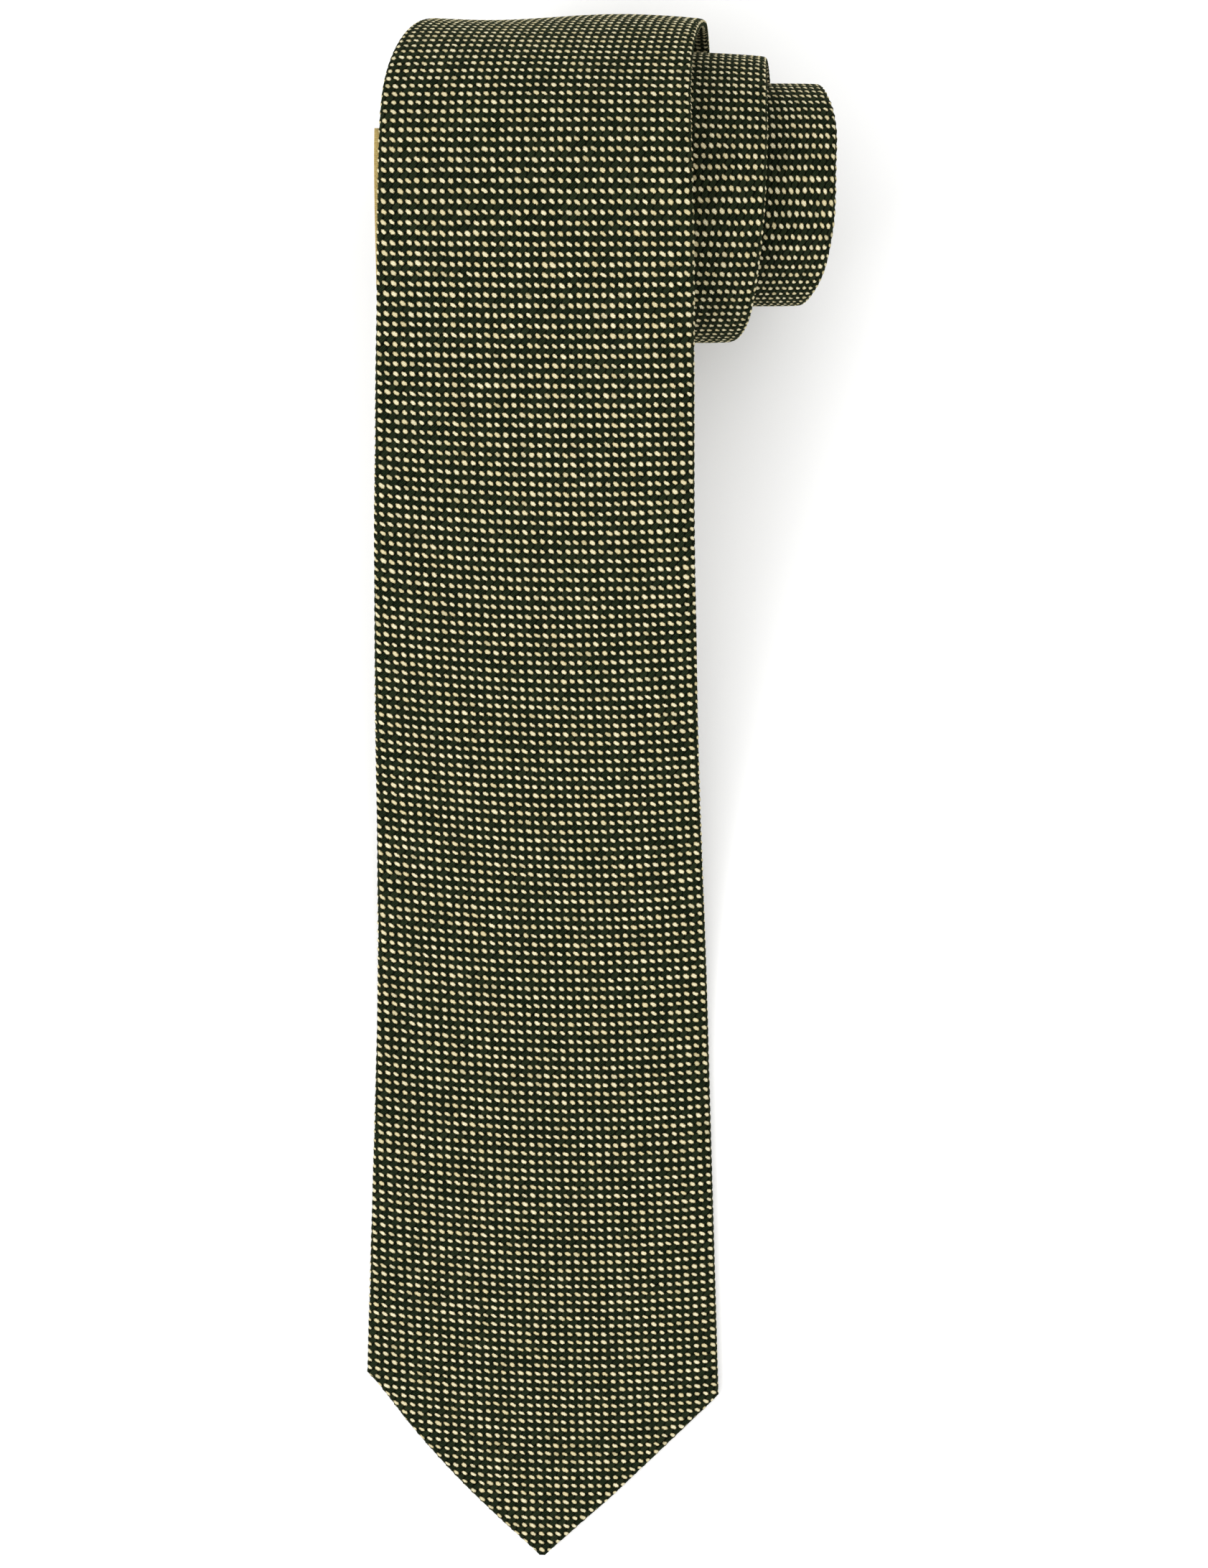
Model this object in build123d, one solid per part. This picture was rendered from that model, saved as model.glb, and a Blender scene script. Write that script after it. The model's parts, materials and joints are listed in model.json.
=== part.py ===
"""A classic necktie, rolled up from its tail, with the blade lying out in front.

The tie is one long flat envelope. Its face is dotted cloth, folded round an interlining and
closed down the middle of the back. It follows one path: flat on the table from the tip, up a
gentle rise, over the top of the roll and round inwards. Each turn steps sideways.

Frame: millimetres, +Z up, the blade points along -Y, and the origin is the middle of the
bounding box at table level.
"""
from build123d import *
import math
import os

# The envelope, measured across its layers from the face inwards
CLOTH = 0.45            # dotted cloth, front and back
INTERLINING = 0.80
TIPPING = 0.20
EASE = 0.03             # air between two layers
THICKNESS = 2.00        # whole envelope
FOLD_EASE = 0.15        # air between an interlining and the folded edge

# The outline along the tie, measured from the tip
BLADE_WIDTH = 80.0
NECK_WIDTH = 37.0
TAIL_WIDTH = 43.0
TAIL_WIDENING = 250.0   # length over which the neck grows to the tail's width
TAPER = 0.0575          # width lost per millimetre above the shoulders
LEFT_POINT = (39.4, 41.6)      # half width and height of the point, left side
RIGHT_POINT = (40.2, 37.4)     # and right side
TAIL_POINT = 22.0
BLUNT = 1.2             # the solid cloth starts this far from a sharp tip
HEM = 8.5               # cloth turned back along the point, measured across
BACK_OPENING = 130.0    # where the two back flaps meet, from the tip
TAIL_OPENING = 60.0
SLIT = 1.0              # between the two flaps, where the slip stitch runs

# The path, seen from the side
LYING = 85.0            # flat on the table from the tip
RISING = 115.0          # then the slope grows over this length
FREE_LENGTH = 302.0     # tip to where the blade leaves the roll
HINGE_AT = 272.0        # tip to the line where the blade bends when it is lifted
ROLL_HEIGHT = 34.7      # roll axis above the table
OUTER_RADIUS = 39.5     # at the top of the outermost turn
LOOSE_PITCH = 8.6       # radius lost per turn in the two loose turns
TIGHT_PITCH = 2.30      # and in the core
LOOSE_END = 720.0       # winding angles, in degrees from the top of the roll
TAIL_END = 3640.0
STEP = 15.0             # between stations on the roll
FREE_STEP = 8.0         # between stations on the slope

# Sideways steps of the turns
TURN_SHIFT = 21.5       # per turn
SHIFT_START, SHIFT_EASE = 0.0, 50.0
SHIFT_END = 735.0

# Where one moving body ends and the next begins
BODY_GAP = 0.35
OUTER_SPLIT = 217.5     # winding angles
MIDDLE_SPLIT = 577.5
NECK_TAIL = 1000.0      # from the tip

# Small parts
KEEPER_START = -29.0    # from the roll's top
KEEPER_LENGTH, KEEPER_THICKNESS = 34.0, 0.40
KEEPER_LEFT, KEEPER_RIGHT = 33.3, 31.5
KEEPER_EASE = 0.15
CARE_LENGTH, CARE_WIDTH, CARE_THICKNESS = 26.0, 14.0, 0.20
CARE_END = 20.0         # from the hinge
THREAD = 0.35
TACK_WIDTH, TACK_LENGTH, TACK_THICKNESS = 8.0, 1.6, 0.20
TAIL_TACK_WIDTH = 5.0
STITCH_LENGTH, STITCH_PITCH = 2.4, 4.4
STITCH_INSET, STITCH_LEAD = 3.0, 1.5    # from the keeper's ends and its lower edge
SEAM_ALLOWANCE = 6.0
POINT_INSET = 2.0       # linings stop this far inside a point
TIPPING_LAP = 12.0      # tipping runs on above the back opening

SAME = 1e-9             # lengths closer than this are equal


def spiral_radius(angle):
    """Radius of the cloth's face at a winding angle."""
    loose = min(angle, LOOSE_END)
    tight = max(angle - LOOSE_END, 0.0)
    return OUTER_RADIUS - (LOOSE_PITCH * loose + TIGHT_PITCH * tight) / 360


def spiral_point(angle):
    """Side-view place of the face, kept above the table, with the roll's axis at y = 0."""
    turn = math.radians(angle)
    radius = spiral_radius(angle)
    return radius * math.sin(turn), max(ROLL_HEIGHT + radius * math.cos(turn), 0.0)


def rise(share):
    share = min(max(share, 0.0), 1.0)
    return share * share * (3 - 2 * share)


def free_path(slope, step=1.0):
    """Points from the leaving point down to the tip, as (distance from tip, y, z, slope there)."""
    y, z = spiral_point(-slope)
    here = FREE_LENGTH
    points = [(here, y, z, slope)]
    while here > 0:
        middle = slope * rise((here - step / 2 - LYING) / RISING)
        y -= step * math.cos(math.radians(middle))
        z -= step * math.sin(math.radians(middle))
        here -= step
        points.append((here, y, z, slope * rise((here - LYING) / RISING)))
    return points


def leaving_slope():
    """The slope that brings the lying stretch exactly onto the table."""
    low, high = 10.0, 40.0
    for _ in range(50):
        middle = (low + high) / 2
        if free_path(middle)[-1][2] > THICKNESS:
            low = middle
        else:
            high = middle
    return low


def eased(value, start, end, ease):
    """How far value has gone from start towards end, with soft ends."""
    def soft(x):
        x = min(max(x, 0.0), ease)
        return x * x / (2 * ease)
    start_part = soft(value - start) + max(value - start - ease, 0.0)
    end_part = soft(value - end) + max(value - end - ease, 0.0)
    return start_part - end_part


SLOPE = leaving_slope()
SHOULDER = (LEFT_POINT[1] + RIGHT_POINT[1]) / 2


def make_stations():
    """The path's stations from tip to tail end: (distance, y, z, normal y, normal z, winding)."""
    wanted = {BLUNT, 6, 12, 20, 29, RIGHT_POINT[1], LEFT_POINT[1], 50, 60, 72, LYING}
    wanted |= {LYING + FREE_STEP * k for k in range(1, int((FREE_LENGTH - LYING) / FREE_STEP))}
    wanted |= {HINGE_AT, FREE_LENGTH}
    found = []
    path = free_path(SLOPE, 0.1)
    for here, y, z, slope in reversed(path):
        if wanted and here >= min(wanted) - 0.001:
            wanted.discard(min(wanted))
            turn = math.radians(slope)
            found.append((here, y, z, -math.sin(turn), math.cos(turn), -slope))
    angle = -STEP / 2
    while angle <= TAIL_END:
        y, z = spiral_point(angle)
        here = found[-1][0] + math.dist((y, z), found[-1][1:3])
        turn = math.radians(angle)
        found.append((here, y, z, math.sin(turn), math.cos(turn), angle))
        angle += STEP
    return found


STATIONS = make_stations()
TIE_LENGTH = STATIONS[-1][0]


def station_at(here):
    """A station at any distance, in line between its two neighbours."""
    after = next(k for k, station in enumerate(STATIONS) if station[0] >= here - SAME)
    a, b = STATIONS[max(after - 1, 0)], STATIONS[after]
    share = (here - a[0]) / (b[0] - a[0]) if b is not a else 0.0
    return tuple(p + (q - p) * share for p, q in zip(a, b))


def distance_of(angle):
    """Distance from the tip at a winding angle on the roll."""
    rolled = (k for k, station in enumerate(STATIONS) if station[0] > FREE_LENGTH)
    after = next(k for k in rolled if STATIONS[k][5] >= angle)
    a, b = STATIONS[after - 1], STATIONS[after]
    return a[0] + (b[0] - a[0]) * (angle - a[5]) / (b[5] - a[5])


def stations_between(start, end):
    inner = [s for s in STATIONS if start + 0.2 < s[0] < end - 0.2]
    return [station_at(start)] + inner + [station_at(end)]


def width(here):
    blade = BLADE_WIDTH - TAPER * (here - SHOULDER)
    tail = NECK_WIDTH + (TAIL_WIDTH - NECK_WIDTH) * rise((here - NECK_TAIL) / TAIL_WIDENING)
    return max(blade, tail)


def edges(here):
    """Half widths left and right of the centreline."""
    half = width(here) / 2
    tail = TIE_LENGTH - here + BLUNT
    left = min(half, here * LEFT_POINT[0] / LEFT_POINT[1], tail)
    right = min(half, here * RIGHT_POINT[0] / RIGHT_POINT[1], tail)
    return left, right


def flap_edge(here, half):
    """How far from the centreline a back flap ends."""
    closed = SLIT / 2
    from_tail = TIE_LENGTH - here
    if here < SHOULDER or from_tail < TAIL_POINT:
        return max(half - HEM, closed)
    if here < BACK_OPENING:
        share = (BACK_OPENING - here) / (BACK_OPENING - SHOULDER)
        return closed + (half - HEM - closed) * share
    if from_tail < TAIL_OPENING:
        share = (TAIL_OPENING - from_tail) / (TAIL_OPENING - TAIL_POINT)
        return closed + (half - HEM - closed) * share
    return closed


def centre(winding):
    return TURN_SHIFT / 360 * eased(winding, SHIFT_START, SHIFT_END, SHIFT_EASE)


def envelope_section(station):
    """The folded cloth: face, two folded edges and two back flaps, as (across, depth)."""
    left, right = edges(station[0])
    back, inner = -THICKNESS, -THICKNESS + CLOTH
    left_flap, right_flap = flap_edge(station[0], left), flap_edge(station[0], right)
    return [(-left, 0), (right, 0), (right, back), (right_flap, back), (right_flap, inner),
            (right - CLOTH, inner), (right - CLOTH, -CLOTH), (CLOTH - left, -CLOTH),
            (CLOTH - left, inner), (-left_flap, inner), (-left_flap, back), (-left, back)]


def layer_section(top, thickness, inset):
    """A flat layer inside the envelope, inset from both folded edges."""
    def section(station):
        left, right = edges(station[0])
        low = top - thickness
        return [(inset - left, top), (right - inset, top), (right - inset, low), (inset - left, low)]
    return section


def band_section(left, right, top, thickness):
    """A band of constant width."""
    def section(station):
        return [(left, top), (right, top), (right, top - thickness), (left, top - thickness)]
    return section


def rings(start, end, section):
    """The cross-section's corners at each station from start to end."""
    found = []
    for station in stations_between(start, end):
        _, y, z, normal_y, normal_z, winding = station
        middle = centre(winding)
        found.append([
            Vector(middle + across, y + depth * normal_y, z + depth * normal_z)
            for across, depth in section(station)
        ])
    return found


def skin(a, b):
    """Flat faces between two rings: one where both edges run sideways, else two triangles."""
    faces = []
    for k in range(len(a)):
        n = (k + 1) % len(a)
        sideways = abs(a[k].Y - a[n].Y) < SAME and abs(a[k].Z - a[n].Z) < SAME
        if sideways:
            outlines = [[a[k], a[n], b[n], b[k]]]
        else:
            outlines = [[a[k], a[n], b[n]], [a[k], b[n], b[k]]]
        faces += [Face(Wire.make_polygon(outline, close=True)) for outline in outlines]
    return faces


def strip(start, end, section):
    """A solid that follows the path from start to end with the given cross-section."""
    found = rings(start, end, section)
    faces = [Face(Wire.make_polygon(ring, close=True)) for ring in (found[0], found[-1])]
    for a, b in zip(found, found[1:]):
        faces += skin(a, b)
    return Solid(Shell(faces)).fix()


interlining_section = layer_section(-CLOTH - EASE, INTERLINING, CLOTH + FOLD_EASE)
lining_top = -CLOTH - EASE - INTERLINING - EASE
tipping_section = layer_section(lining_top, TIPPING, CLOTH + FOLD_EASE)
thread_section = band_section(-THREAD / 2, THREAD / 2, -THICKNESS + CLOTH, THREAD)


def bar_tack(here, across):
    section = band_section(-across / 2, across / 2, -THICKNESS - EASE, TACK_THICKNESS)
    return strip(here, here + TACK_LENGTH, section)


def seam(here):
    """The two allowances of a panel seam, pressed open between interlining and back."""
    return [
        strip(here - SEAM_ALLOWANCE, here - BODY_GAP, tipping_section),
        strip(here + BODY_GAP, here + SEAM_ALLOWANCE, tipping_section),
    ]


def keeper(start):
    top = -THICKNESS - KEEPER_EASE
    section = band_section(-KEEPER_LEFT, KEEPER_RIGHT, top, KEEPER_THICKNESS)
    return strip(start, start + KEEPER_LENGTH, section)


def keeper_stitches(start):
    """One row of short stitches along each end of the keeper band."""
    top = -THICKNESS - KEEPER_EASE - KEEPER_THICKNESS - EASE
    found = []
    for across in (STITCH_INSET - KEEPER_LEFT, KEEPER_RIGHT - STITCH_INSET):
        section = band_section(across - THREAD / 2, across + THREAD / 2, top, THREAD)
        for k in range(int(KEEPER_LENGTH / STITCH_PITCH)):
            here = start + STITCH_LEAD + STITCH_PITCH * k
            found.append(strip(here, here + STITCH_LENGTH, section))
    return found


roll_top = distance_of(0)
outer_end = distance_of(OUTER_SPLIT)
middle_end = distance_of(MIDDLE_SPLIT)
half_gap = BODY_GAP / 2
keeper_start = roll_top + KEEPER_START
care_top = -THICKNESS - KEEPER_EASE

bodies = {
    "blade": (BLUNT, HINGE_AT - half_gap),
    "outer_turn": (HINGE_AT + half_gap, outer_end - half_gap),
    "middle_turn": (outer_end + half_gap, middle_end - half_gap),
    "neck": (middle_end + half_gap, NECK_TAIL - half_gap),
    "tail": (NECK_TAIL + half_gap, TIE_LENGTH),
}

parts = {}
for name, (start, end) in bodies.items():
    inner_start = start + POINT_INSET if name == "blade" else start
    inner_end = end - POINT_INSET if name == "tail" else end
    parts[name + "_shell"] = strip(start, end, envelope_section)
    parts[name + "_interlining"] = strip(inner_start, inner_end, interlining_section)
    stitch_start = BACK_OPENING if name == "blade" else start
    stitch_end = end - TAIL_OPENING if name == "tail" else end
    parts[name + "_slip_stitch"] = strip(stitch_start, stitch_end, thread_section)

parts["blade_tipping"] = strip(
    BLUNT + POINT_INSET, BACK_OPENING + TIPPING_LAP, tipping_section
)
parts["tail_tipping"] = strip(
    TIE_LENGTH - TAIL_OPENING - TIPPING_LAP, TIE_LENGTH - POINT_INSET, tipping_section
)
parts["blade_bar_tack"] = bar_tack(BACK_OPENING - TACK_LENGTH, TACK_WIDTH)
parts["tail_bar_tack"] = bar_tack(TIE_LENGTH - TAIL_OPENING, TAIL_TACK_WIDTH)
parts["keeper_loop"] = keeper(keeper_start)
parts["keeper_stitches"] = keeper_stitches(keeper_start)
parts["care_label"] = strip(
    HINGE_AT - CARE_END - CARE_LENGTH, HINGE_AT - CARE_END,
    band_section(-CARE_WIDTH / 2, CARE_WIDTH / 2, care_top, CARE_THICKNESS),
)
parts["blade_neck_seam"] = seam(middle_end + half_gap + SEAM_ALLOWANCE)
parts["neck_tail_seam"] = seam(NECK_TAIL)

solids = [s for shape in parts.values() for s in (shape if isinstance(shape, list) else [shape])]
box = Compound(solids).bounding_box()
to_origin = Location((-(box.min.X + box.max.X) / 2, -(box.min.Y + box.max.Y) / 2, -box.min.Z))

os.makedirs("parts", exist_ok=True)
for name, shape in parts.items():
    if isinstance(shape, list):
        shape = Compound(shape)
    export_step(shape.moved(to_origin), f"parts/{name}.step")

print("tie length", round(TIE_LENGTH, 1), "slope", round(SLOPE, 2))
print("hinge", Vector(0, *station_at(HINGE_AT)[1:3]) + to_origin.position)
print("box", box.size, "offset", to_origin.position)
for name, angle in (("roll top", 0), ("outer split", OUTER_SPLIT), ("middle split", MIDDLE_SPLIT)):
    print(name, round(distance_of(angle), 1))
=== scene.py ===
"""A classic necktie, rolled up from its tail, with the blade lying out in front.

The cloth follows one path: flat on the table from the tip, up a slope, over the top of the roll
and round inwards. Every soft piece is built on that path, in three coordinates: the distance
from the tip, the distance across from the centreline, and the depth below the face.
Lengths are in millimetres until a mesh is made, and meshes are in metres.
"""
import json
import math

import bpy
import numpy as np
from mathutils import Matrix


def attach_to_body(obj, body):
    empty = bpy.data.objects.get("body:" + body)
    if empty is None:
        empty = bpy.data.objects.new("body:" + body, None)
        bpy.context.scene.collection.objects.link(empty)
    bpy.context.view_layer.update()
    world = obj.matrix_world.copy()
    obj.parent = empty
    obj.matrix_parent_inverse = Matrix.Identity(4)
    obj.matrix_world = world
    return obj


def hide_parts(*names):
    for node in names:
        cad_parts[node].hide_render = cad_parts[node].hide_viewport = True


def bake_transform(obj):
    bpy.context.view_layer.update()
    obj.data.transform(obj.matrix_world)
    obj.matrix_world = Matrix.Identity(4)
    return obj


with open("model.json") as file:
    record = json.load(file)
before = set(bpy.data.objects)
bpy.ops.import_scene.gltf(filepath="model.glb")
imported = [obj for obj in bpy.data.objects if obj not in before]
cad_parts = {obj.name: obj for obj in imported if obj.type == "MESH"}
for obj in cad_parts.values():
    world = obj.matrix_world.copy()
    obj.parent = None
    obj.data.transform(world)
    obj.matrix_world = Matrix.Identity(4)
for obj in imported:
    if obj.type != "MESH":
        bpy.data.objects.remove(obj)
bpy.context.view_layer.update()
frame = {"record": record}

MM = 0.001

# The envelope
THICKNESS = 2.0
SOFT_EDGE, SOFT_EDGE_REACH = 0.22, 2.2      # the face falls off towards a fold
FOLD_IN_RADIUS, FOLD_IN = 0.22, 2.4         # a flap's own edge is turned in
LEAST_HALF_WIDTH = 0.02                     # at the very points
CLOTH_MARGIN = 0.3                          # the cloth's mesh stops this short of them
MESH_SPARE = 4.0                            # wider than the tie, before the mesh is cut to it

# Layers inside the envelope: depth of the upper side, thickness, and inset from the edge
WOOL_DEPTH, WOOL_THICKNESS, WOOL_INSET = -0.62, 0.74, 0.9
LINING_DEPTH, LINING_THICKNESS, LINING_INSET = -1.42, 0.12, 0.8
SEAM_DEPTH, SEAM_THICKNESS, SEAM_INSET = -1.42, 0.16, 1.4
WOOL_SHORT, LINING_SHORT = 4.0, 3.0         # they stop this far before the points
LINING_OVERLAP = 12.0                       # the lining goes on under the closed back

# The outline along the tie, from the tip
BLADE_WIDTH, NECK_WIDTH, TAIL_WIDTH = 80.0, 37.0, 43.0
TAPER = 0.0575          # of the blade's width in each millimetre
LEFT_POINT = (39.4, 41.6)   # a shoulder's place to the side and its distance from the tip
RIGHT_POINT = (40.2, 37.4)
POINT_BULGE = (2.4, 1.0)    # the point's left and right sides are slightly round
TAIL_POINT = 22.0
TAIL_WIDENING = 250.0
HEM = 8.5               # of cloth, behind each point
BACK_OPENING, TAIL_OPENING = 130.0, 60.0    # the back is open this far from each point
SLIT = 0.06             # half the gap between the closed flaps

# The path
PATH_STEP = 0.5         # millimetres before the roll, degrees in it
LYING, RISING = 85.0, 115.0     # flat on the table, then bending up to the slope
SLOPE = 25.47
FREE_LENGTH, HINGE_AT = 302.0, 272.0
ROLL_HEIGHT, OUTER_RADIUS = 34.7, 39.5
LOOSE_PITCH, TIGHT_PITCH, LOOSE_END = 8.6, 2.30, 720.0
TAIL_END = 3640.0
BLADE_NECK, NECK_TAIL = 653.7, 1000.0       # where the panels are joined
SEAM_ALLOWANCE = 6.0
TURN_SHIFT, SHIFT_END, SHIFT_EASE = 21.5, 735.0, 50.0

# Soft undulation: height, wavelength along and across over 2 pi, and phase
WAVES = ((0.22, 11.0, -31.0, 0.0), (0.16, 6.7, 9.0, 2.0))
QUILT, QUILT_ALONG, QUILT_ACROSS = 0.30, 23.0, 17.0
CORNER_LIFT, TIP_LIFT = 0.55, 0.5           # the lying blade's edges and tip stand up a bit
FREE_WAVES = (LYING, LYING + 60, 120, 160)  # these start in millimetres and end in degrees
LOOSE_WAVES, LOOSE_SHARE = (200, 230, 640, 700), 0.6

# How the soft roll differs from a true spiral, and at which winding angles: where it starts,
# is whole, is whole for the last time, and ends
LEFT_PULL = 6.0         # the free left edge of the outer turn is drawn in at the back of the top
RIGHT_PUSH = 1.9        # and its right edge stands out there
TOP_WAVE, TOP_SINK = 0.55, 2.2              # the top outline waves once and has sunk a little
SECOND_PUSH = 2.6       # the second turn starts further to the right
CONE = 0.045            # and is a little smaller on the right
FRONT_BULGE = 0.9       # the third turn stands out at the front
CORE_PULL = 3.2         # the tight core is pushed back in behind the third turn
THIRD_PUSH = 1.5        # and the third turn's own edge stands out to the right
SWAY = 0.9              # the rising stretch stands a little to the left
PULL_ZONE, TOP_ZONE = (15, 85, 110, 190), (25, 75, 120, 180)
SECOND_ZONE, CONE_ZONE = (235, 295, 330, 440), (330, 390, 520, 580)
FRONT_ZONE, THIRD_ZONE = (560, 610, 680, 730), (620, 670, 685, 735)
CORE_FROM, CORE_WHOLE = 725, 795
SWAY_ZONE = (120, 200, 230, 310)            # distances from the tip

# The weave: distance from the tip, then how far apart dots stand across and along the tie
WEAVE = np.array([
    (0, 1.91, 1.82), (60, 1.91, 1.81), (90, 1.91, 1.94), (140, 1.89, 2.06), (205, 1.83, 2.15),
    (290, 1.73, 2.18), (322, 1.71, 2.08), (338, 1.70, 1.86), (375, 1.69, 1.88),
    (400, 1.67, 2.20), (530, 1.55, 2.31), (690, 1.43, 2.37), (1500, 1.40, 2.38),
])
ROW_STEP = 0.25         # the rows are counted in steps of this length
LEAN = 0.025            # the columns lean over this much per millimetre
SAG_CURVE, SAG_TILT = 0.0030, -0.026        # the rows hang in the middle
SAG_FROM, SAG_TO = 215.0, 310.0
LATTICE_ROUNDS = 3      # rounds in which a dot's two coordinates settle
DOT_TILT, DOT_LONG, DOT_WIDE = math.radians(27), 0.345, 0.200
GROUND_TILT, GROUND_LONG, GROUND_WIDE = math.radians(38), 0.56, 0.33
RELIEF, HEM_RELIEF = 0.13, 0.04             # a dot stands this far out
FOLD_RELIEF, FOLD_RELIEF_REACH = 1.4, 1.2   # and further where the cloth is folded
DOT_MESH_WIDE = 1.3     # a dot's mesh is wider than its light colour
GROUND_HEIGHT, MEAN_HEIGHT = 0.75, 0.5      # where a dot's height is 1

# Small parts
KEEPER_START, KEEPER_LENGTH = -29.0, 34.0   # from the roll's top
KEEPER_LEFT, KEEPER_RIGHT, KEEPER_THICKNESS = 32.9, 31.6, 0.40
CARE_WIDTH, CARE_LENGTH, CARE_END, CARE_THICKNESS = 14.0, 26.0, 20.0, 0.2
LABEL_GAP = 0.16        # between the back of the envelope and a label
THREAD_RADIUS = 0.16
SLIP_PITCH, SLIP_LENGTH, SLIP_REACH = 6.0, 4.2, 0.75
TACK_THREADS, TACK_PITCH = 7, 0.27
KEEPER_STITCHES, KEEPER_PITCH = 10, 3.1
CARE_STITCHES, CARE_PITCH = 5, 2.6

# How far the cloth gives at a joint
OUTER_SLIDE = (30.0, -19.0)     # along Y from the roll's axis
INNER_SLIDE = (24.0, -12.0)

# The camera and the light
CAMERA_LENS, CAMERA_SENSOR = 67.6, 36.0
CAMERA_RIGHT, CAMERA_FRONT, CAMERA_HEIGHT = 14.0, 4.2, 672.0
FLOOR_HALF, FLOOR_Z = 3.0, -0.0003          # metres, just under the tie
LIGHTS = (
    # name, place and what it faces in metres, size, and power in watts
    ("key", (-0.85, -0.45, 0.9), (0, 0.03, 0.03), 0.7, 6.4),
    ("fill", (0.85, -0.3, 0.8), (0, 0, 0.02), 0.9, 0.8),
)
SKY_STRENGTH = 1.24


# ---------------------------------------------------------------- the path

def rise(share):
    """From 0 to 1 with soft ends."""
    share = np.clip(share, 0.0, 1.0)
    return share * share * (3 - 2 * share)


def between(value, start, whole, last, end):
    """1 from whole to last, 0 before start and after end, and soft steps between them."""
    return rise((value - start) / (whole - start)) * (1 - rise((value - last) / (end - last)))


def radius_at(angle):
    """The roll's radius at a winding angle in degrees."""
    loose = np.minimum(angle, LOOSE_END)
    tight = np.maximum(angle - LOOSE_END, 0.0)
    return OUTER_RADIUS - (LOOSE_PITCH * loose + TIGHT_PITCH * tight) / 360


def make_path():
    """Distance from the tip, y, z and winding angle, with the roll's axis at y = 0."""
    free = np.arange(0.0, FREE_LENGTH + PATH_STEP / 2, PATH_STEP)
    slope = SLOPE * rise((free - LYING) / RISING)
    middle = np.radians((slope[1:] + slope[:-1]) / 2)
    y = np.concatenate([[0.0], np.cumsum(PATH_STEP * np.cos(middle))])
    z = np.concatenate([[0.0], np.cumsum(PATH_STEP * np.sin(middle))])
    angle = np.arange(-SLOPE, TAIL_END, PATH_STEP)
    turn = np.radians(angle)
    roll_y = radius_at(angle) * np.sin(turn)
    roll_z = np.maximum(ROLL_HEIGHT + radius_at(angle) * np.cos(turn), 0.0)
    y += roll_y[0] - y[-1]
    z += roll_z[0] - z[-1]
    along = FREE_LENGTH + np.cumsum(np.hypot(np.diff(roll_y), np.diff(roll_z)))
    return (np.concatenate([free, along]), np.concatenate([y, roll_y[1:]]),
            np.concatenate([z, roll_z[1:]]), np.concatenate([-slope, angle[1:]]))


PATH_S, PATH_Y, PATH_Z, PATH_WIND = make_path()
TIE_LENGTH = PATH_S[-1]


def on_path(values, s):
    """One of the path's columns at a distance."""
    return np.interp(s, PATH_S, values)


def distance_of(angle):
    """The distance at which the roll reaches a winding angle."""
    rolled = PATH_S > FREE_LENGTH
    return float(np.interp(angle, PATH_WIND[rolled], PATH_S[rolled]))


def eased(value, start, end, ease):
    """How far value has gone from start towards end, with soft ends."""
    def soft(x):
        inside = np.clip(x, 0.0, ease)
        return inside * inside / (2 * ease) + np.maximum(x - ease, 0.0)
    return soft(value - start) - soft(value - end)


def centre(winding):
    """How far the centreline has stepped to the right."""
    return TURN_SHIFT / 360 * eased(winding, 0.0, SHIFT_END, SHIFT_EASE)


LIFT_JOINT = next(j for j in frame["record"]["behaviour"]["joints"] if j["name"] == "blade_lift")
HINGE_X, HINGE_Y, HINGE_Z = LIFT_JOINT["pos_m"]
AXIS_Y = HINGE_Y / MM - on_path(PATH_Y, HINGE_AT)   # the roll's axis in the row frame


def unevenness(s, x, winding):
    """Soft undulation of the whole envelope, outwards only where it lies on the table."""
    waves = QUILT * np.sin(s / QUILT_ALONG + 0.6) * np.sin(x / QUILT_ACROSS + 0.9)
    for height, along, across, phase in WAVES:
        waves = waves + height * np.sin(s / along + x / across + phase)
    lying = 1 - rise((s - LYING) / 40)
    corner = CORNER_LIFT * rise((np.abs(x) - 22) / 18) * lying
    tip = TIP_LIFT * rise((24 - s) / 24)
    start, whole, last, end = FREE_WAVES
    free = rise((s - start) / (whole - start)) * (1 - rise((winding - last) / (end - last)))
    waves = waves * (free + LOOSE_SHARE * between(winding, *LOOSE_WAVES))
    top = (TOP_WAVE * np.cos((x - 12) / 9.9) - TOP_SINK) * between(winding, *TOP_ZONE)
    cone = -CONE * (x + 15) * between(winding, *CONE_ZONE)
    front = FRONT_BULGE * between(winding, *FRONT_ZONE)
    return waves + corner + tip + top + cone + front


def aside(s, x, winding):
    """How far the cloth has slipped sideways from the true spiral."""
    sway = -SWAY * between(s, *SWAY_ZONE)
    left = np.clip(0.5 - x / (BLADE_WIDTH - 2), 0, 1)
    outer = (LEFT_PULL * left + RIGHT_PUSH * (1 - left)) * between(winding, *PULL_ZONE)
    second = SECOND_PUSH * between(winding, *SECOND_ZONE)
    third = THIRD_PUSH * between(winding, *THIRD_ZONE)
    core = -CORE_PULL * rise((winding - CORE_FROM) / (CORE_WHOLE - CORE_FROM))
    return sway + outer + second + third + core


def place(s, x, depth):
    """Points in metres from distance, place across and depth (0 on the face, negative inside)."""
    winding = on_path(PATH_WIND, s)
    turn = np.radians(winding)
    out = depth + unevenness(s, x, winding)
    y = on_path(PATH_Y, s) + AXIS_Y + out * np.sin(turn)
    z = on_path(PATH_Z, s) + out * np.cos(turn)
    across = centre(winding) + x + aside(s, x, winding)
    return np.stack([HINGE_X + across * MM, y * MM, z * MM], axis=-1)


# ---------------------------------------------------------------- the outline

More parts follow.
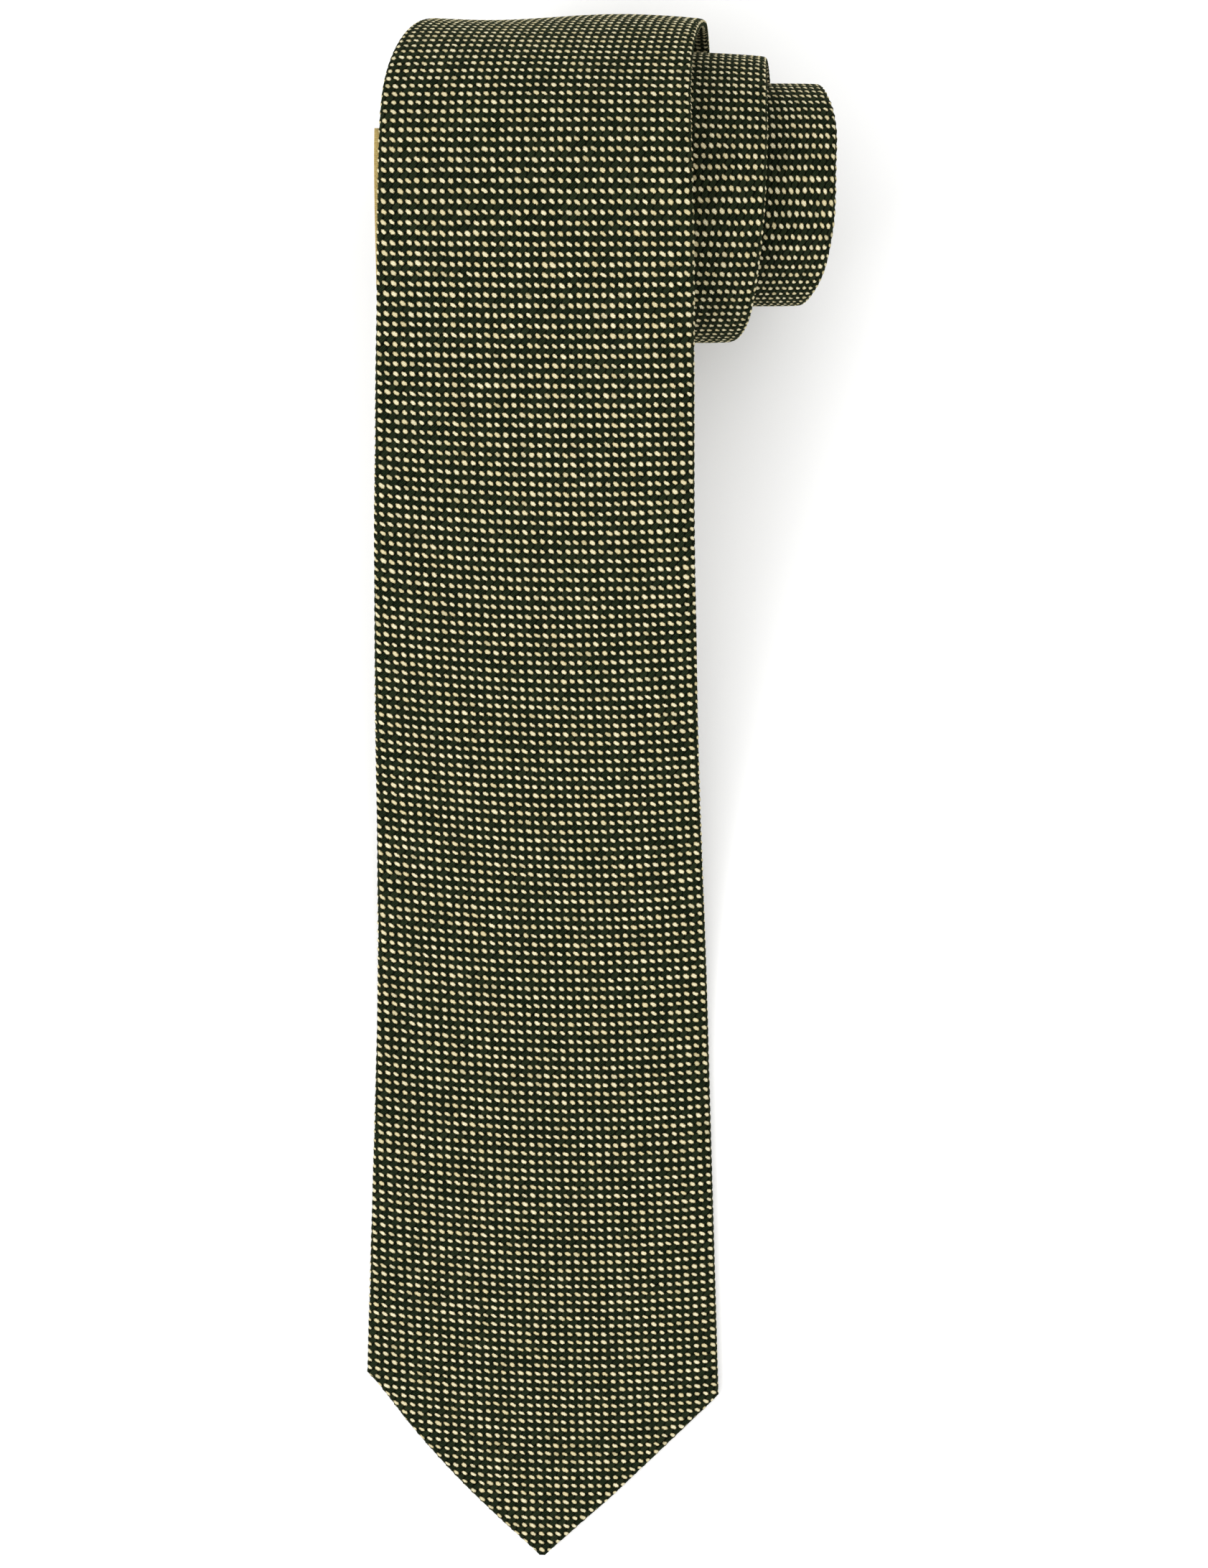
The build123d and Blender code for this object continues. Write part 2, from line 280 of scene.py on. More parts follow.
def half_width(s, right):
    """Half the tie's width, on its right or left side."""
    shoulder = (LEFT_POINT[1] + RIGHT_POINT[1]) / 2
    blade = BLADE_WIDTH - TAPER * (s - shoulder)
    tail = NECK_WIDTH + (TAIL_WIDTH - NECK_WIDTH) * rise((s - NECK_TAIL) / TAIL_WIDENING)
    half = np.maximum(blade, tail) / 2
    point = np.where(right, RIGHT_POINT[0] / RIGHT_POINT[1], LEFT_POINT[0] / LEFT_POINT[1]) * s
    bulge = np.where(right, POINT_BULGE[1], POINT_BULGE[0])
    point = point + bulge * np.sin(math.pi * np.clip(s / shoulder, 0, 1))
    narrowest = np.minimum(np.minimum(half, point), TIE_LENGTH - s)
    return np.maximum(narrowest, LEAST_HALF_WIDTH)


def flap_edge(s, half):
    """How far the back flaps' edges stand from the centreline."""
    shoulder = (LEFT_POINT[1] + RIGHT_POINT[1]) / 2
    from_tail = TIE_LENGTH - s
    hem = np.maximum(half - HEM, SLIT)
    blade = np.clip((BACK_OPENING - s) / (BACK_OPENING - shoulder), 0, 1)
    tail = np.clip((TAIL_OPENING - from_tail) / (TAIL_OPENING - TAIL_POINT), 0, 1)
    return SLIT + (hem - SLIT) * np.maximum(blade, tail)


def envelope(d, s):
    """Where the cloth lies at signed distance d along its own section: across, depth, the
    outward direction in the section, and how far along the section the cloth ends."""
    right = d > 0
    half = half_width(s, right)
    a = np.abs(d)
    fold = np.minimum(THICKNESS / 2, half * 0.5)
    flap = np.minimum(flap_edge(s, half), np.maximum(half - fold - FOLD_IN_RADIUS, 0.01))
    front = half - fold
    folded = front + math.pi * fold
    back = folded + np.maximum(half - fold - flap - FOLD_IN_RADIUS, 0.0)
    turned = back + math.pi * FOLD_IN_RADIUS
    end = turned + np.minimum(FOLD_IN, 0.7 * np.maximum(half - fold - flap, 0.1))
    angle = np.clip((a - front) / fold, 0, math.pi)
    inner = np.clip((a - back) / FOLD_IN_RADIUS, 0, math.pi)
    across = (np.minimum(a, front) + fold * np.sin(angle) - np.clip(a - folded, 0, back - folded)
              - FOLD_IN_RADIUS * np.sin(inner) + np.maximum(a - turned, 0))
    depth = -fold * (1 - np.cos(angle)) + FOLD_IN_RADIUS * (1 - np.cos(inner))
    near_fold = np.exp(-np.maximum(half - across, 0) / SOFT_EDGE_REACH)
    depth -= SOFT_EDGE * near_fold * np.cos(angle) * (inner <= 0)
    out_x = np.where(inner > 0, -np.sin(inner), np.sin(angle))
    out_n = np.where(inner > 0, -np.cos(inner), np.cos(angle))
    side = np.where(right, 1.0, -1.0)
    return side * across, depth, side * out_x, out_n, end


# ---------------------------------------------------------------- the weave

ROW_S = np.arange(0.0, TIE_LENGTH + ROW_STEP, ROW_STEP)
ROW_PITCH = np.interp(ROW_S[1:], WEAVE[:, 0], WEAVE[:, 2])
ROW_V = np.concatenate([[0.0], np.cumsum(ROW_STEP / ROW_PITCH)])     # rows counted from the tip


def column_pitch(s):
    return np.interp(s, WEAVE[:, 0], WEAVE[:, 1])


def sag(s, x):
    """How much further from the tip a row of dots is at x than in its middle."""
    share = 1 - rise((s - SAG_FROM) / (SAG_TO - SAG_FROM))
    return share * (SAG_CURVE * x * x / 2 + SAG_TILT * x)


def lattice_place(u, v):
    """Distance from the tip and signed distance across for a place counted in dots."""
    base = np.interp(v, ROW_V, ROW_S)
    s, d = base, u * column_pitch(base)
    for _ in range(LATTICE_ROUNDS):
        d = u * column_pitch(s) + LEAN * (FREE_LENGTH - s) * (s < FREE_LENGTH)
        half = half_width(s, d > 0)
        s = np.maximum(base + sag(base, np.clip(d, -half, half)), 0.0)
    return s, d


def mound(x, y, tilt, long, wide):
    """A round-topped float of yarn, 1 at its middle and 0 outside."""
    along = x * math.cos(tilt) - y * math.sin(tilt)
    across = x * math.sin(tilt) + y * math.cos(tilt)
    return np.sqrt(np.clip(1 - (along / long) ** 2 - (across / wide) ** 2, 0, 1))


def weave_height(u, v):
    """Height of the cloth's relief, from 0 in its gaps to 1 on a dot."""
    wide = DOT_WIDE * DOT_MESH_WIDE
    dot = mound(u - np.round(u), v - np.round(v), DOT_TILT, DOT_LONG, wide)
    ground_u, ground_v = u + 0.5 - np.round(u + 0.5), v + 0.5 - np.round(v + 0.5)
    ground = mound(ground_u, ground_v, -GROUND_TILT, GROUND_LONG, GROUND_WIDE)
    return np.maximum(dot, GROUND_HEIGHT * ground)


def hem_lattice(s, x):
    """On the point's hem the cloth is folded over a slanting edge, so its dots are mirrored."""
    slope = np.where(x > 0, RIGHT_POINT[0] / RIGHT_POINT[1], LEFT_POINT[0] / LEFT_POINT[1])
    along = 2 * (slope * np.abs(x) + s) / (1 + slope * slope)
    flat_x, flat_s = np.sign(x) * (slope * along - np.abs(x)), along - s
    return flat_x / column_pitch(flat_s), np.interp(flat_s, ROW_S, ROW_V)


# ---------------------------------------------------------------- mesh helpers

def new_mesh(name, points, faces, uv=None):
    """A smooth mesh object in the scene, with its lattice places in the UV layer "weave"."""
    mesh = bpy.data.meshes.new(name)
    mesh.from_pydata([tuple(p) for p in points], [], [tuple(f) for f in faces])
    if uv is not None:
        layer = mesh.uv_layers.new(name="weave")
        loops = np.empty(len(mesh.loops), np.int32)
        mesh.loops.foreach_get("vertex_index", loops)
        layer.data.foreach_set("uv", np.asarray(uv, np.float32)[loops].ravel())
    mesh.polygons.foreach_set("use_smooth", np.ones(len(mesh.polygons), bool))
    mesh.update()
    piece = bpy.data.objects.new(name, mesh)
    bpy.context.scene.collection.objects.link(piece)
    return piece


def grid_faces(rows, columns):
    """Four-sided faces between the points of a grid."""
    index = np.arange(rows * columns).reshape(rows, columns)
    return np.stack([index[:-1, :-1], index[:-1, 1:], index[1:, 1:], index[1:, :-1]],
                    axis=-1).reshape(-1, 4)


def keep_used(points, faces, uv):
    """Drops the points that no face uses."""
    used = np.unique(faces)
    place_of = np.zeros(len(points), np.int64)
    place_of[used] = np.arange(len(used))
    return points[used], place_of[faces], uv[used]


def cloth_piece(name, start, end, samples):
    """The folded dotted cloth between two distances, with every dot standing out of it."""
    first, last = (int(round(np.interp(s, ROW_S, ROW_V) * samples)) for s in (start, end))
    widest = 2 * float(half_width(np.linspace(start, end, 50), True).max()) + MESH_SPARE
    reach = int((widest + LEAN * FREE_LENGTH) / WEAVE[:, 1].min() * samples)
    u = np.arange(-reach, reach + 1) / samples
    v = np.arange(first, last + 1) / samples
    u, v = (a.ravel() for a in np.meshgrid(u, v))
    s, d = lattice_place(u, v)
    x, depth, out_x, out_n, limit = envelope(d, s)
    shoulder = np.where(x > 0, RIGHT_POINT[1], LEFT_POINT[1])
    hem = (s < shoulder) & (out_n < 0)
    hem_u, hem_v = hem_lattice(s, x)
    shown_u, shown_v = np.where(hem, hem_u, u), np.where(hem, hem_v, v)
    fold = np.exp(-np.abs(half_width(s, d > 0) - np.abs(x)) / FOLD_RELIEF_REACH)
    relief = np.where(hem, HEM_RELIEF, RELIEF * (1 + FOLD_RELIEF * fold))
    height = relief * (weave_height(u, v) - MEAN_HEIGHT)
    points = place(s, x + out_x * height, depth + out_n * height)
    valid = (np.abs(d) <= limit) & (s > CLOTH_MARGIN) & (s < TIE_LENGTH - CLOTH_MARGIN)
    faces = grid_faces(last - first + 1, 2 * reach + 1)
    faces = faces[valid[faces].all(axis=1)]
    points, faces, uv = keep_used(points, faces, np.stack([shown_u, shown_v], axis=-1))
    piece = new_mesh(name, points, faces, uv)
    distances = np.linspace(start + CLOTH_MARGIN, end - CLOTH_MARGIN, 400)
    unfolded = sum(envelope(np.full_like(distances, side), distances)[4] for side in (-1, 1))
    return piece


def band_piece(name, start, end, left, right, top, thickness, columns, step, bow=0.0):
    """A closed strip along the path. left and right are numbers or functions of distance,
    top is the depth of its upper side, and bow is how much deeper that is in the middle."""
    def value(of, s):
        return of(s) if callable(of) else np.full_like(s, float(of))
    rows = max(int((end - start) / step), 2)
    s = np.linspace(start, end, rows + 1)
    share = (1 - np.cos(np.linspace(0, math.pi, columns + 1))) / 2
    s_grid = np.repeat(s[:, None], columns + 1, axis=1)
    x_grid = value(left, s)[:, None] * (share - 1) + value(right, s)[:, None] * share
    depth = np.tile(top - bow * np.sin(math.pi * share), rows + 1)
    upper = place(s_grid.ravel(), x_grid.ravel(), depth)
    lower = place(s_grid.ravel(), x_grid.ravel(), depth - thickness)
    count = len(upper)
    faces = grid_faces(rows + 1, columns + 1)
    index = np.arange(count).reshape(rows + 1, columns + 1)
    rim = np.concatenate([index[0, :-1], index[:-1, -1], index[-1, :0:-1], index[:0:-1, 0]])
    after = np.roll(rim, -1)
    sides = np.stack([rim, rim + count, after + count, after], axis=-1)
    faces = np.concatenate([faces, faces[:, ::-1] + count, sides])
    uv = np.tile(np.stack([x_grid.ravel(), s_grid.ravel()], axis=-1), (2, 1))
    return new_mesh(name, np.concatenate([upper, lower]), faces, uv)


def declare_band(piece, width):
    """Hands the piece back unchanged; the width, how large the strip was cut in millimetres, is
    not used.
    """
    return piece


def tube_parts(points, radius, sides=6):
    """Points and faces of a closed round tube along points in metres."""
    points = np.asarray(points)
    along = np.gradient(points, axis=0)
    along /= np.linalg.norm(along, axis=1)[:, None]
    across = np.cross(along, [1.0, 0.02, 0.03])
    weak = np.linalg.norm(across, axis=1) < 0.2
    across[weak] = np.cross(along[weak], [0.0, 0.6, 0.8])
    across /= np.linalg.norm(across, axis=1)[:, None]
    up = np.cross(across, along)
    turn = np.arange(sides) * 2 * math.pi / sides
    rings = (points[:, None] + radius * (np.cos(turn)[None, :, None] * across[:, None]
                                         + np.sin(turn)[None, :, None] * up[:, None]))
    faces = []
    for k in range(len(points) - 1):
        for j in range(sides):
            n = (j + 1) % sides
            faces.append((k * sides + j, k * sides + n, (k + 1) * sides + n, (k + 1) * sides + j))
    faces.append(tuple(range(sides))[::-1])
    faces.append(tuple((len(points) - 1) * sides + j for j in range(sides)))
    return rings.reshape(-1, 3), faces


def threads_piece(name, lines):
    """One piece made of separate lengths of thread, each given by its points in metres."""
    points, faces = [], []
    for line in lines:
        ring_points, ring_faces = tube_parts(line, THREAD_RADIUS * MM)
        offset = sum(len(p) for p in points)
        points.append(ring_points)
        faces += [tuple(i + offset for i in face) for face in ring_faces]
    points = np.concatenate(points)
    return new_mesh(name, points, faces, points[:, :2] / MM)


def slip_stitch(name, start, end):
    """Short ladder stitches that draw the two back flaps together."""
    lines = []
    s = start + 1.0
    while s < end - 5.0:
        share = np.linspace(0, 1, 7)
        side = np.where(share < 0.5, -1, 1) * np.minimum(1, np.abs(share - 0.5) * 4)
        depth = -THICKNESS + 0.02 - 0.14 * np.sin(math.pi * share)
        lines.append(place(s + SLIP_LENGTH * share, SLIP_REACH * side, depth))
        s += SLIP_PITCH
    return threads_piece(name, lines)


def bar_tack(name, at, width):
    """A dense bar of parallel threads across the back seam."""
    lines = []
    share = np.linspace(-0.5, 0.5, 7)
    for k in range(TACK_THREADS):
        s = np.full_like(share, at + TACK_PITCH * k)
        depth = -THICKNESS - 0.26 + 0.9 * np.abs(share) ** 4
        lines.append(place(s, width * share, depth))
    return threads_piece(name, lines)


def row_stitches(name, places, length, depth, across=False):
    """Running stitches from the given places, each between two holes."""
    lines = []
    share = np.linspace(0, 1, 6)
    for s, x in places:
        bow = 0.16 * np.sin(math.pi * share)
        ds = np.zeros(6) if across else length * share
        dx = length * share if across else np.zeros(6)
        lines.append(place(s + ds, x + dx, depth - bow))
    return threads_piece(name, lines)


# ---------------------------------------------------------------- node helpers

def linear(red, green, blue):
    """A colour given as sRGB 0 to 255, as the shader wants it."""
    def channel(c):
        c /= 255
        return c / 12.92 if c <= 0.04045 else ((c + 0.055) / 1.055) ** 2.4
    return (channel(red), channel(green), channel(blue), 1.0)


class Graph:
    """Builds one material's nodes, so that each formula reads as a formula."""

    def __init__(self, name):
        self.material = bpy.data.materials.new(name)
        self.material.use_nodes = True
        self.tree = self.material.node_tree
        self.shader = self.tree.nodes["Principled BSDF"]

    def node(self, kind, values, output=0, **settings):
        made = self.tree.nodes.new(kind)
        for key, value in settings.items():
            setattr(made, key, value)
        for key, value in values.items():
            if hasattr(value, "is_output"):
                self.tree.links.new(value, made.inputs[key])
            else:
                made.inputs[key].default_value = value
        return made.outputs[output]

    def math(self, operation, a, b=0.0, c=0.0):
        return self.node("ShaderNodeMath", {0: a, 1: b, 2: c}, operation=operation)

    def scaled(self, value, factor, base):
        return self.math("MULTIPLY_ADD", value, factor, base)

    def add(self, a, b):
        return self.math("ADD", a, b)

    def sub(self, a, b):
        return self.math("SUBTRACT", a, b)

    def mul(self, a, b):
        return self.math("MULTIPLY", a, b)

    def smooth(self, value, low, high, to_low=0.0, to_high=1.0):
        """A soft step between two values."""
        values = {"Value": value, "From Min": low, "From Max": high,
                  "To Min": to_low, "To Max": to_high}
        return self.node("ShaderNodeMapRange", values, interpolation_type="SMOOTHSTEP")

    def mix(self, share, a, b):
        values = {0: share, 6: a, 7: b}
        return self.node("ShaderNodeMix", values, output=2, data_type="RGBA")

    def vector(self, x, y, z=0.0):
        return self.node("ShaderNodeCombineXYZ", {0: x, 1: y, 2: z})

    def split(self, vector):
        made = self.tree.nodes.new("ShaderNodeSeparateXYZ")
        self.tree.links.new(vector, made.inputs[0])
        return made.outputs

    def noise(self, vector, scale, detail=2.0, color=False):
        values = {"Vector": vector, "Scale": scale, "Detail": detail}
        return self.node("ShaderNodeTexNoise", values, output=1 if color else 0)

    def random(self, vector):
        """Three random numbers that stay the same all over one cell."""
        return self.split(self.node("ShaderNodeTexWhiteNoise", {"Vector": vector}, output=1))

    def lattice(self):
        """The lattice places kept in the mesh, as separate numbers."""
        return self.split(self.node("ShaderNodeUVMap", {}, uv_map="weave"))

    def ellipse(self, x, y, tilt, long, wide):
        """0 in the middle of a tilted ellipse and 1 on its edge, and the place across it."""
        along = self.sub(self.mul(x, math.cos(tilt)), self.mul(y, math.sin(tilt)))
        across = self.add(self.mul(x, math.sin(tilt)), self.mul(y, math.cos(tilt)))
        first = self.math("POWER", self.math("ABSOLUTE", self.math("DIVIDE", along, long)), 2.3)
        second = self.math("POWER", self.math("ABSOLUTE", self.math("DIVIDE", across, wide)), 2.3)
        return self.add(first, second), across

    def finish(self, color, roughness, height=None, distance=0.15, strength=0.6, **fixed):
        """Colour, roughness and bump go to the shader, and fixed values on its own sockets."""
        links = self.tree.links
        links.new(color, self.shader.inputs["Base Color"])
        links.new(roughness, self.shader.inputs["Roughness"])
        if height is not None:
            bump = self.node("ShaderNodeBump", {"Height": height, "Strength": strength,
                                                "Distance": distance * MM})
            links.new(bump, self.shader.inputs["Normal"])
        for key, value in fixed.items():
            self.shader.inputs[key.replace("_", " ")].default_value = value
        return self.material


# ---------------------------------------------------------------- materials

def cell_offset(graph, value, shift):
    """Distance from the middle of the cell, and the cell's number."""
    moved = graph.add(value, shift)
    number = graph.math("ROUND", moved)
    return graph.sub(moved, number), number


def strands(graph, across, period, phase):
    """A ripple of twisted strands side by side in one float."""
    angle = graph.add(graph.mul(across, 2 * math.pi / period), phase)
    return graph.scaled(graph.math("SINE", angle), 0.5, 0.5)


def dotted_cloth():
    """Bias-cut weave: cream floats in rows on dark green floats that cross them."""
    g = Graph("dotted_cloth")
    u, v, _ = g.lattice()
    flat = g.vector(u, v)
    wobble = g.split(g.noise(flat, 1.1, 2.0, color=True))
    fray = g.split(g.noise(flat, 7.0, 3.0, color=True))
    u = g.add(u, g.add(g.scaled(wobble[0], 0.16, -0.08), g.scaled(fray[0], 0.22, -0.11)))
    v = g.add(v, g.add(g.scaled(wobble[1], 0.16, -0.08), g.scaled(fray[1], 0.22, -0.11)))

    dot_x, column = cell_offset(g, u, 0.0)
    dot_y, row = cell_offset(g, v, 0.0)
    own = g.random(g.vector(column, row, 3.0))
    other = g.random(g.vector(column, row, 5.0))
    dot_x = g.add(dot_x, g.scaled(other[0], 0.08, -0.04))
    dot_y = g.add(dot_y, g.scaled(other[1], 0.08, -0.04))
    long = g.scaled(own[0], 0.09, DOT_LONG - 0.03)
    wide = g.scaled(own[1], 0.06, DOT_WIDE - 0.02)
    dot_edge, dot_across = g.ellipse(dot_x, dot_y, DOT_TILT, long, wide)
    dot = g.smooth(dot_edge, 1.42, 0.55)
    rim = g.smooth(dot_edge, 0.12, 1.05)
    dot_strands = strands(g, dot_across, 0.16, g.mul(own[2], 6.0))

    ground_x, ground_column = cell_offset(g, u, 0.5)
    ground_y, ground_row = cell_offset(g, v, 0.5)
    under = g.random(g.vector(ground_column, ground_row, 9.0))
    ground_edge, ground_across = g.ellipse(ground_x, ground_y, -GROUND_TILT,
                                           GROUND_LONG, GROUND_WIDE)
    ground = g.smooth(ground_edge, 1.25, 0.25)
    ground_strands = strands(g, ground_across, 0.19, g.mul(under[2], 6.0))

    cloud = g.noise(g.vector(g.mul(u, 0.16), g.mul(v, 0.55)), 1.0, 3.0)
    patch = g.smooth(cloud, 0.34, 0.66)
    fibre = g.noise(flat, 9.0, 2.0)

    gap, green, lit_green, deep_green = (linear(3, 5, 2), linear(32, 42, 25),
                                           linear(52, 59, 39), linear(14, 20, 11))
    cream, pale, groove_shade, rim_shade = (linear(218, 206, 164), linear(236, 229, 196),
                                linear(121, 112, 73), linear(145, 128, 77))
    dim_dot, clouded, fuzz = linear(102, 95, 64), linear(128, 121, 84), linear(45, 56, 30)

    # painted shade: between the green floats and between their strands the colour goes to
    # near-black
    dark = g.mix(g.mul(ground, ground_strands), gap, green)
    # painted highlight: the middle of each green float is lighter, by a random amount
    dark = g.mix(g.mul(g.mul(under[0], ground), 0.30), dark, lit_green)
    dark = g.mix(g.mul(patch, 0.35), dark, deep_green)
    light = g.mix(own[2], cream, pale)
    # painted shade: the grooves between a dot's strands are darker
    light = g.mix(g.mul(g.sub(1.0, dot_strands), 0.36), light, groove_shade)
    # painted shade: a dot darkens towards its rim, where it dips into the weave
    light = g.mix(g.mul(rim, 0.74), light, rim_shade)
    # a few dots, chosen at random, are darker
    light = g.mix(g.smooth(other[2], 0.80, 1.0, 0.0, 0.28), light, dim_dot)
    light = g.mix(g.mul(patch, 0.12), light, clouded)
    color = g.mix(dot, dark, light)
    color = g.mix(g.smooth(fibre, 0.50, 0.80, 0.0, 0.22), color, fuzz)

    dot_height = g.mul(dot, g.scaled(dot_strands, 0.22, 0.85))
    ground_height = g.mul(ground, g.scaled(ground_strands, 0.20, 0.55))
    height = g.add(g.math("MAXIMUM", dot_height, ground_height), g.mul(fibre, 0.12))
    roughness = g.scaled(dot, -0.12, 0.86)
    return g.finish(color, roughness, height, distance=0.22, strength=0.85,
                    Specular_IOR_Level=0.02, Sheen_Weight=0.12, Sheen_Roughness=0.30,
                    Sheen_Tint=linear(170, 182, 140))


def satin(name, base, other, thread=0.24, rough=0.42):
    """Plain satin: long floats in one direction."""
    g = Graph(name)
    x, y, _ = g.lattice()
    float_x, column = cell_offset(g, g.math("DIVIDE", x, thread), 0.0)
    shifted = g.add(g.math("DIVIDE", y, thread * 5), g.mul(column, 0.4))
    float_y, row = cell_offset(g, shifted, 0.0)
    own = g.random(g.vector(column, row, 1.0))
    ridge = g.smooth(g.math("ABSOLUTE", float_x), 0.5, 0.1)
    gap = g.smooth(g.math("ABSOLUTE", float_y), 0.5, 0.38)
    height = g.mul(ridge, gap)
    color = g.mix(g.mul(own[0], 0.6), base, other)
    # painted shade: darker towards near-black between the floats, where the height is low
    color = g.mix(g.scaled(height, -0.35, 0.35), color, linear(8, 8, 6))
    cloud = g.noise(g.vector(x, y), 0.25, 2.0)
    roughness = g.scaled(cloud, 0.2, rough)
    return g.finish(color, roughness, height, distance=0.06, strength=0.5,
                    Specular_IOR_Level=0.22, Sheen_Weight=0.05)


def keeper_satin():
    """Gold woven label satin with a plain border, and no lettering."""
    g = Graph("keeper_satin")
    x, y, _ = g.lattice()
    rib_x, column = cell_offset(g, g.math("DIVIDE", x, 0.30), 0.0)
    rib_y, row = cell_offset(g, g.math("DIVIDE", y, 0.42), 0.0)
    own = g.random(g.vector(column, row, 2.0))
    ridge = g.mul(g.smooth(g.math("ABSOLUTE", rib_x), 0.5, 0.1),
                  g.smooth(g.math("ABSOLUTE", rib_y), 0.5, 0.2))
    color = g.mix(own[0], linear(182, 156, 82), linear(206, 184, 113))
    # painted shade: darker brown in the grooves between the ribs
    color = g.mix(g.scaled(ridge, -0.45, 0.45), color, linear(110, 84, 34))
    roughness = g.scaled(ridge, -0.12, 0.48)
    return g.finish(color, roughness, ridge, distance=0.08, strength=0.6,
                    Specular_IOR_Level=0.5, Sheen_Weight=0.2)


def woven_tape():
    """White blank tape with a fine plain weave."""
    g = Graph("woven_tape")
    x, y, _ = g.lattice()
    wave_x = strands(g, x, 0.36, 0.0)
    wave_y = strands(g, y, 0.36, 0.0)
    height = g.mul(wave_x, wave_y)
    fleck = g.noise(g.vector(x, y), 1.4, 3.0)
    # painted shade: the tape is darker where its weave is low and lighter on the crowns
    color = g.mix(height, linear(196, 194, 184), linear(240, 238, 230))
    color = g.mix(g.mul(fleck, 0.25), color, linear(214, 210, 196))
    roughness = g.scaled(fleck, 0.15, 0.62)
    return g.finish(color, roughness, height, distance=0.05, strength=0.5, Sheen_Weight=0.1)


def felted_wool():
    """Brushed interlining, off-white with loose fibres."""
    g = Graph("felted_wool")
    x, y, _ = g.lattice()
    fibres = g.noise(g.vector(g.mul(x, 3.0), y), 1.2, 4.0)
    fine = g.noise(g.vector(x, y), 6.0, 3.0)
    color = g.mix(fibres, linear(186, 178, 158), linear(226, 220, 204))
    color = g.mix(g.mul(fine, 0.3), color, linear(160, 150, 128))
    roughness = g.scaled(fine, 0.1, 0.85)
    return g.finish(color, roughness, fibres, distance=0.3, strength=0.7, Sheen_Weight=0.3)


def sewing_thread(name, base, other):
    """Two-ply twisted thread."""
    g = Graph(name)
    places = g.node("ShaderNodeTexCoord", {}, output=3)
    x, y, z = g.split(places)
    twist = g.math("SINE", g.mul(g.add(g.add(x, g.mul(y, 1.7)), z), 2 * math.pi / (0.45 * MM)))
    ply = g.scaled(twist, 0.5, 0.5)
    # painted shade: the thread is darker in the grooves of its twist
    color = g.mix(ply, base, other)
    roughness = g.scaled(ply, 0.1, 0.5)
    return g.finish(color, roughness, ply, distance=0.05, strength=0.6, Sheen_Weight=0.2)


def studio_paper():
    """Matt white paper."""
    g = Graph("studio_paper")
    places = g.node("ShaderNodeTexCoord", {}, output=3)
    cloud = g.noise(places, 6.0, 2.0)
    color = g.mix(cloud, linear(250, 250, 250), linear(252, 252, 251))
    return g.finish(color, g.scaled(cloud, 0.05, 0.9))


# ---------------------------------------------------------------- the camera and the studio

def make_camera():
    """Straight above the tie, a little to the right of the blade's centreline."""
    data = bpy.data.cameras.new("camera")
    camera = bpy.data.objects.new("camera", data)
    data.lens = CAMERA_LENS
    data.sensor_width = CAMERA_SENSOR
    camera.location = (HINGE_X + CAMERA_RIGHT * MM, CAMERA_FRONT * MM, CAMERA_HEIGHT * MM)
    bpy.context.scene.collection.objects.link(camera)
    bpy.context.scene.camera = camera


def soft_box(name, stand, aim, size, power):
    """A square area light that faces a point."""
    data = bpy.data.lights.new(name, "AREA")
    data.size = size
    data.energy = power
    lamp = bpy.data.objects.new(name, data)
    lamp.location = stand
    way = np.array(aim) - np.array(stand)
    yaw = math.atan2(way[1], way[0]) - math.pi / 2
    pitch = math.atan2(math.hypot(way[0], way[1]), -way[2])
    lamp.rotation_euler = (pitch, 0.0, yaw)
    bpy.context.scene.collection.objects.link(lamp)


def make_studio():
    """A white floor, a key and a fill light, and an even white sky."""
    sides = ((-1, -1), (1, -1), (1, 1), (-1, 1))
    corners = [(FLOOR_HALF * x, FLOOR_HALF * y, FLOOR_Z) for x, y in sides]
    floor = new_mesh("floor", corners, [(0, 1, 2, 3)])
    floor.data.materials.append(studio_paper())
    for light in LIGHTS:
        soft_box(*light)
    world = bpy.data.worlds.new("studio")
    world.use_nodes = True
    sky = world.node_tree.nodes["Background"]
    sky.inputs["Color"].default_value = (1.0, 1.0, 1.0, 1.0)
    sky.inputs["Strength"].default_value = SKY_STRENGTH
    bpy.context.scene.world = world
    bpy.context.scene.view_settings.view_transform = "Standard"


# ---------------------------------------------------------------- the pieces

FIRST_CUT = distance_of(90)     # where one cloth piece hands over to the next
SECOND_CUT = distance_of(270)
THIRD_CUT = distance_of(450)
FOURTH_CUT = distance_of(630)
ROLL_TOP = distance_of(0)


def hinge_blend(piece):
    """Bakes the piece's placement into its mesh."""
    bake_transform(piece)


def slide_blend(piece, a, b, start, end):
    """Bakes the piece's placement into its mesh; the two places along Y from the roll's axis are
    not used.
    """
    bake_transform(piece)


def attach(piece, how):
    """Puts a piece on its body, or bakes its placement where it crosses a joint."""
    if how == "lift":
        hinge_blend(piece)
    elif how == "outer_slide":
        slide_blend(piece, "outer_turn", "middle_turn", *OUTER_SLIDE)
    elif how == "inner_slide":
        slide_blend(piece, "middle_turn", "core", *INNER_SLIDE)
    else:
        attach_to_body(piece, how)


